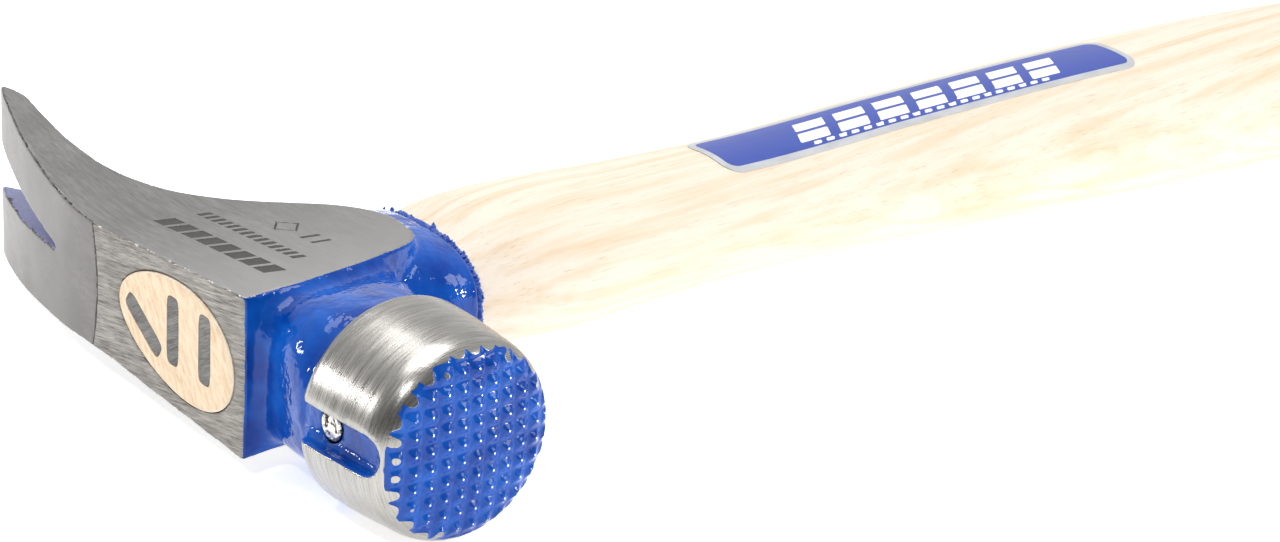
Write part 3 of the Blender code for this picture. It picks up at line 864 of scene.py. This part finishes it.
# Dark grey, hatched on the slant by the belt that ground the wedges flush
WEDGE_STEEL = ground_steel("wedge_ground_dark_steel", "#3e3e3e", "#8a8987", (2.4, 2.0, 0.2), (0, 0.5, 0),
                           (0.42, 0.58), 0.06, cloud=0.2)
# Name, x, z, turn in degrees and depth
WEDGES = (("wedge_front", -52.9, 0.9, 90.0, 27.0), ("wedge_middle", -62.6, 0.8, 90.0, 27.0),
          ("wedge_diagonal", -71.7, -1.3, -34.0, 20.0))
WEDGE_LENGTH = 12.2
WEDGE_THICK = 3.5
WEDGE_POINT = 0.9
WEDGE_SUNK = 0.04         # how far the wedges stay under the ground top
WEDGE_GAP = 0.12          # between a wedge and its slit


def wedge_ring(x, z, turn, y, thick, grow):
    """A round-cornered oblong, a little ragged in the same way at every depth."""
    chance = random.Random(SEED + int(x))
    ring = []
    for a in np.arange(40) * math.tau / 40:
        c, s = math.cos(a), math.sin(a)
        along = math.copysign(abs(c) ** 0.28, c) * (WEDGE_LENGTH / 2 + grow)
        across = math.copysign(abs(s) ** 0.5, s) * (thick / 2 + grow) * chance.uniform(0.96, 1.0)
        ring.append((x + along * math.cos(turn) - across * math.sin(turn), y,
                     z + along * math.sin(turn) + across * math.cos(turn)))
    return np.array(ring)


def wedge_skin(x, z, turn, depth, top, grow=0.0):
    """The closed skin of a wedge, or of the slit for it when it grows a little."""
    taper = (WEDGE_POINT - WEDGE_THICK) / depth
    return loft([wedge_ring(x, z, turn, y, WEDGE_THICK + taper * (y - HEAD_TOP_Y), grow)
                 for y in (top, HEAD_TOP_Y + 0.25, HEAD_TOP_Y + 3.0, HEAD_TOP_Y + depth)])


def cut_slit(name, points, triangles):
    """Cuts a wedge's slit into the end grain, with end grain inside it."""
    cutter = new_piece(name + "_cutter", points, triangles, (WOOD[1],))
    slit = handle.modifiers.new(name, "BOOLEAN")
    slit.object = cutter
    slit.solver = "MANIFOLD"
    cut_mesh = bpy.data.meshes.new_from_object(handle.evaluated_get(bpy.context.evaluated_depsgraph_get()))
    handle.modifiers.clear()
    handle.data = cut_mesh
    cut_mesh.shade_smooth()
    cut_mesh.set_sharp_from_angle(angle=math.radians(SHARP_ANGLE))
    bpy.data.objects.remove(cutter)


for name, x, z, turn, depth in WEDGES:
    place = (x, z, math.radians(turn), depth)
    points, triangles = wedge_skin(*place, HEAD_TOP_Y + WEDGE_SUNK)
    new_piece(name + "_steel", points, triangles, (WEDGE_STEEL,), None, (name,), SHARP_ANGLE)
    cut_slit(name, *wedge_skin(*place, HEAD_TOP_Y - 1.0, WEDGE_GAP))


def magnet_skin(count=48):
    """The magnet's disc, with its edge worn round."""
    angle = np.arange(count) * math.tau / count
    return loft([np.stack((MAGNET_X + radius * np.cos(angle), np.full(count, y),
                           GROOVE_Z + radius * np.sin(angle)), axis=1)
                 for y, radius in ((MAGNET_FACE_Y, 2.2), (MAGNET_FACE_Y + 0.04, 2.35),
                                   (MAGNET_FACE_Y + 0.3, MAGNET_RADIUS), (MAGNET_FOOT_Y, MAGNET_RADIUS))])


points, triangles = magnet_skin()
# Bright nickel, stained brown and black where dirt and filings cling
NICKEL = uneven("worn_nickel_plate", "#2f2822", "#efebe3", (0.9, 0.9, 0.9),
                (0.6, 0.28), 0.08, metallic=1.0, low=0.40, high=0.54)
new_piece("starter_magnet_disc", points, triangles, (NICKEL,), None,
          ("starter_magnet",), SHARP_ANGLE)

# Label: a film on the upper side of the handle, turned a little towards the face
LABEL_START = 97.0
LABEL_END = 206.5
LABEL_MIDDLE = 1.3
LABEL_HALF = 7.4
LABEL_CORNER = 3.6
LABEL_BORDER = 1.5
LABEL_THICK = 0.15
LABEL_LIFT = 0.03


def rounded_panel(s, t, inset):
    """Distance to the label's outline, taken in by inset."""
    corner = LABEL_CORNER - inset
    u = np.abs(s - (LABEL_START + LABEL_END) / 2) - (LABEL_END - LABEL_START) / 2 + inset + corner
    v = np.abs(t - LABEL_MIDDLE) - LABEL_HALF + inset + corner
    return np.hypot(np.maximum(u, 0), np.maximum(v, 0)) + np.minimum(np.maximum(u, v), 0) - corner


def label_print(s, t):
    """Distance to the plain printed blocks: one row of slanted blocks and a row of small dashes."""
    blocks = bars(s, -t, 116.0, 188.0, 7, -4.0 - LABEL_MIDDLE, 3.0 - LABEL_MIDDLE, fill=0.74, slant=0.55)
    blocks = np.maximum(blocks, -(np.abs(t - LABEL_MIDDLE - 0.6) - 0.45))     # a gap runs through them
    dashes = bars(s, -t, 119.0, 183.0, 20, -5.4 - LABEL_MIDDLE, -4.5 - LABEL_MIDDLE, fill=0.6, slant=0.5)
    return np.minimum(blocks, dashes)


def on_handle(s, t, lift):
    """A spot on the upper side of the handle: s along it, t across it and lift above it."""
    middle, depth, thick = read_rows(HANDLE_TABLE, s)
    share = np.maximum(1 - np.abs(t / depth) ** GRIP_SQUARENESS, 0)
    return np.stack((middle + t, s, thick * share ** (1 / GRIP_SQUARENESS) + lift), axis=1)


def build_label():
    """The film cut from a fine grid along its border and its print, then closed underneath."""
    s, t = np.meshgrid(np.arange(LABEL_START - 1, LABEL_END + 1.1, 0.6),
                       LABEL_MIDDLE + np.arange(-LABEL_HALF - 0.6, LABEL_HALF + 0.7, 0.4), indexing="ij")
    flat = np.stack((s.ravel(), t.ravel(), np.zeros(s.size)), axis=1)
    k = np.arange(s.size).reshape(s.shape)
    a, b, c, d = k[:-1, :-1].ravel(), k[1:, :-1].ravel(), k[1:, 1:].ravel(), k[:-1, 1:].ravel()
    faces = np.concatenate((np.stack((a, c, b), axis=1), np.stack((a, d, c), axis=1)))
    for field in (lambda p: rounded_panel(p[:, 0], p[:, 1], 0.0),
                  lambda p: rounded_panel(p[:, 0], p[:, 1], LABEL_BORDER),
                  lambda p: label_print(p[:, 0], p[:, 1])):
        flat, faces = cut_along(flat, faces, field)
    spot = flat[faces].mean(axis=1)
    kept = rounded_panel(spot[:, 0], spot[:, 1], 0.0) < 0
    faces, spot = faces[kept], spot[kept]
    used, faces = np.unique(faces, return_inverse=True)
    faces = faces.reshape(-1, 3)
    flat = flat[used]
    finish = np.where(rounded_panel(spot[:, 0], spot[:, 1], LABEL_BORDER) > 0, 1,
                      np.where(label_print(spot[:, 0], spot[:, 1]) < 0, 2, 0))
    count = len(flat)
    top = on_handle(flat[:, 0], flat[:, 1], LABEL_LIFT + LABEL_THICK)
    under = on_handle(flat[:, 0], flat[:, 1], LABEL_LIFT)
    edges = np.concatenate((faces, np.roll(faces, -1, axis=1)), axis=1)
    pairs = np.concatenate([edges[:, [i, i + 3]] for i in range(3)])
    code = pairs[:, 0] * count + pairs[:, 1]
    open_edges = pairs[~np.isin(code, pairs[:, 1] * count + pairs[:, 0])]
    p, q = open_edges[:, 0], open_edges[:, 1]
    rim = np.concatenate((np.stack((q, p, p + count), axis=1), np.stack((q, p + count, q + count), axis=1)))
    every = np.concatenate((faces, faces[:, ::-1] + count, rim))
    finish = np.concatenate((finish, np.ones(len(faces) + len(rim), dtype=int)))
    return np.concatenate((top, under)), every, finish


points, triangles, finish = build_label()
FILM = (
    # Flat royal blue print
    uneven("printed_film_blue", "#29429a", "#3149a1", (3.0, 6.0, 3.0), (0.31, 0.40), 0.01),
    # Silvery grey border
    uneven("printed_film_silver", "#b4b7bb", "#c3c5c8", (3.0, 6.0, 3.0), (0.34, 0.43), 0.01, metallic=0.35),
    # Clean white blocks
    uneven("printed_film_white", "#f4f4f6", "#ebecf0", (3.0, 6.0, 3.0), (0.36, 0.45), 0.01))
new_piece("handle_label", points, triangles, FILM, finish, ("label",), SHARP_ANGLE)


def build_crumbs():
    """Shaved wood and lacquer crumbs squeezed out under the lip: a ragged ring and loose chips."""
    chance = random.Random(SEED)
    around, section, chips = 260, 8, 110
    middle = np.array((-61.0, LIP_Y, 0.0))
    lip = ring_points(LIP_Y, 0.0, around)
    beyond = ring_points(LIP_Y, 1.0, around)
    points = []
    for base in lip:
        out = (base - middle) / np.linalg.norm(base - middle)
        size = chance.uniform(0.35, 1.0) * (1.25 if chance.random() < 0.3 else 0.75)
        for i in range(section):
            a = math.tau * i / section
            wide = 0.55 + size * chance.uniform(0.4, 1.0) * max(math.cos(a), 0)
            down = 0.75 + (0.6 + 0.5 * size) * math.sin(a) * chance.uniform(0.7, 1.15)
            points.append(base + out * (0.45 + wide * math.cos(a)) + np.array((0, down, 0)))
    faces = []
    for k in range(around):
        for i in range(section):
            a, b = k * section + i, k * section + (i + 1) % section
            after = (k + 1) % around * section
            c, d = after + i, after + (i + 1) % section
            faces += [(a, b, d), (a, d, c)]
    for _ in range(chips):
        base = beyond[chance.randrange(around)]
        centre = base + np.array([chance.uniform(*span) for span in ((-0.3, 0.3), (0.0, 1.5), (-0.3, 0.3))])
        radius = chance.uniform(0.25, 0.75)
        start = len(points)
        for axis in ((1, 0, 0), (-1, 0, 0), (0, 1, 0), (0, -1, 0), (0, 0, 1), (0, 0, -1)):
            points.append(centre + np.array(axis) * radius * chance.uniform(0.6, 1.3))
        for i in (0, 1):
            for j in (2, 3):
                for m in (4, 5):
                    trio = (start + i, start + j, start + m)
                    faces.append(trio if (i + j + m) % 2 == 0 else trio[::-1])
    return np.array(points), np.array(faces)


points, triangles = build_crumbs()
# Matt broken blue, paler where the lacquer has crumbled
CRUMB = uneven("crumbled_blue_lacquer", "#10429a", "#3a62b8", (0.9, 0.9, 0.9), (0.36, 0.45), 0.1)
new_piece("lacquer_crumb_ring", points, triangles, (CRUMB,), None,
          ("lacquer_bead",), SHARP_ANGLE)

# ---------------------------------------------------------------- camera, floor and light

LENS = 89.68              # for a sensor 36 wide
CAMERA_SPOT = (0.4251, -0.4754, 0.2338)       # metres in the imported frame, as all below
CAMERA_RIGHT = (0.63908, 0.76684, 0.05955)
CAMERA_BACK = (0.69621, -0.60965, 0.37896)
HEAD_SPOT = (0.02, -0.19, 0.02)
FLOOR_HALF = 3.0


def add_object(name, data):
    made = bpy.data.objects.new(name, data)
    bpy.context.scene.collection.objects.link(made)
    return made


def place_camera():
    """A long lens near the face, above the upper cheek."""
    data = bpy.data.cameras.new("camera")
    data.lens = LENS
    data.sensor_width = 36.0
    data.clip_start = 0.01
    camera = add_object("camera", data)
    back = Vector(CAMERA_BACK).normalized()
    up = back.cross(Vector(CAMERA_RIGHT).normalized()).normalized()
    placing = Matrix((up.cross(back), up, back)).transposed().to_4x4()
    placing.translation = Vector(CAMERA_SPOT)
    camera.matrix_world = placing
    bpy.context.scene.camera = camera


def lay_floor():
    """A light table: its own glow leaves almost no shadow and lights the undersides."""
    mesh = bpy.data.meshes.new("floor")
    corners = [(FLOOR_HALF * x, FLOOR_HALF * y, 0) for x, y in ((-1, -1), (1, -1), (1, 1), (-1, 1))]
    mesh.from_pydata(corners, [], [(0, 1, 2, 3)])
    floor = add_object("floor", mesh)
    paint, _, shader, _ = start_material("matte_white_floor", Roughness=0.9)
    shader.inputs["Base Color"].default_value = colour("#fafafa")
    shader.inputs["Emission Color"].default_value = colour("#ffffff")
    shader.inputs["Emission Strength"].default_value = 0.62
    mesh.materials.append(paint)


def light_studio():
    """A studio that is bright behind and above the hammer and dimmer on the near side."""
    world = bpy.data.worlds.new("studio")
    bpy.context.scene.world = world
    world.use_nodes = True
    tree = world.node_tree
    sky = tree.nodes["Background"]
    direction = node(tree, "TexCoord").outputs["Generated"]
    toward = node(tree, "VectorMath", {0: direction, 1: (-0.62, 0.52, 0.58)},
                  operation="DOT_PRODUCT").outputs["Value"]
    shade = tones(tree, toward, -0.9, -0.09, "#595959", "#949494")
    shade = tones(tree, toward, -0.09, 0.9, shade, "#ffffff")
    tree.links.new(shade, sky.inputs["Color"])
    sky.inputs["Strength"].default_value = 0.9


def lamp(name, spot, aim, size, power):
    """A rectangular soft light at spot, turned to face aim."""
    data = bpy.data.lights.new(name, "AREA")
    data.shape = "RECTANGLE"
    data.size, data.size_y = size
    data.energy = power
    made = add_object(name, data)
    made.location = spot
    made.rotation_mode = "QUATERNION"
    made.rotation_quaternion = (Vector(aim) - Vector(spot)).to_track_quat("-Z", "Y")


place_camera()
lay_floor()
light_studio()
lamp("poll_strip", (-0.85, -1.00, 0.36), HEAD_SPOT, (0.09, 0.18), 2.2)
lamp("key_softbox", (-0.35, -0.2, 1.3), (0.0, 0.0, 0.0), (0.9, 0.9), 12.0)
lamp("rim_softbox", (0.9, 0.7, 0.8), HEAD_SPOT, (0.5, 0.5), 5.5)
lamp("left_pin_lamp", (0.25, -0.75, 0.75), HEAD_SPOT, (0.045, 0.045), 1.6)
lamp("right_pin_lamp", (0.76, 0.39, 0.165), HEAD_SPOT, (0.06, 0.06), 2.2)

bpy.context.scene.view_settings.view_transform = "Standard"
